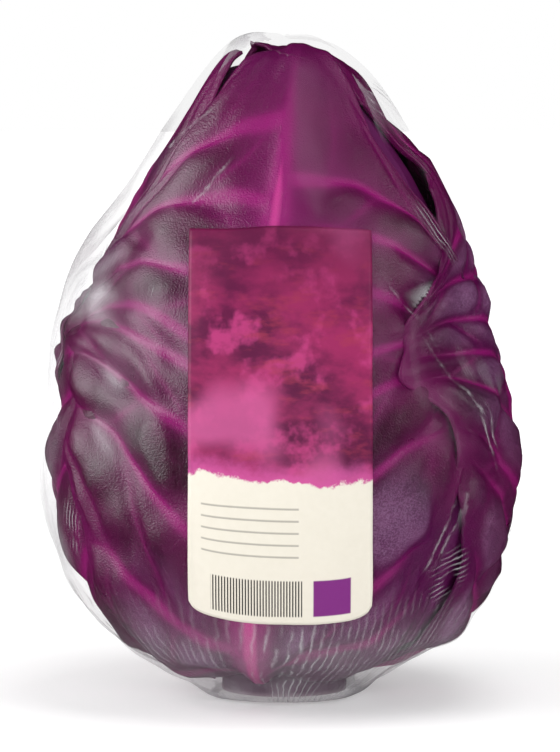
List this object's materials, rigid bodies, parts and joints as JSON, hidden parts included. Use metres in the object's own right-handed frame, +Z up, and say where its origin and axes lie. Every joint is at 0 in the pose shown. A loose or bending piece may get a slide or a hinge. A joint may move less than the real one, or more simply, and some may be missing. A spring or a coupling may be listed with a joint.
{
  "type": "cabbage head",
  "caption": "Pointed red cabbage standing on its stalk, shrink-wrapped in clear film, with a plain printed paper label down its front.",
  "frame": {"origin": "bottom centre of the bounding box, in the middle of the wrapped foot that the head stands on", "axes": "+Z up along the head from its stalk to its tip; the label's side faces -Y"},
  "size_m": [0.1242, 0.1152, 0.1702],
  "materials": {
    "cabbage_leaf": "waxy leaf, deep purple",
    "inner_leaves": "matt leaf, deep purple",
    "clear_film": "clear glossy film",
    "label_paper": "satin paper"
  },
  "bodies": {
    "root": {"inner_head": "inner_leaves", "leaf_crown": "cabbage_leaf", "leaf_left": "cabbage_leaf", "leaf_back": "cabbage_leaf", "leaf_front": "cabbage_leaf", "leaf_right": "cabbage_leaf", "leaf_outer_back": "cabbage_leaf", "film_wrap": "clear_film", "label": "label_paper"}
  },
  "joints": []
}
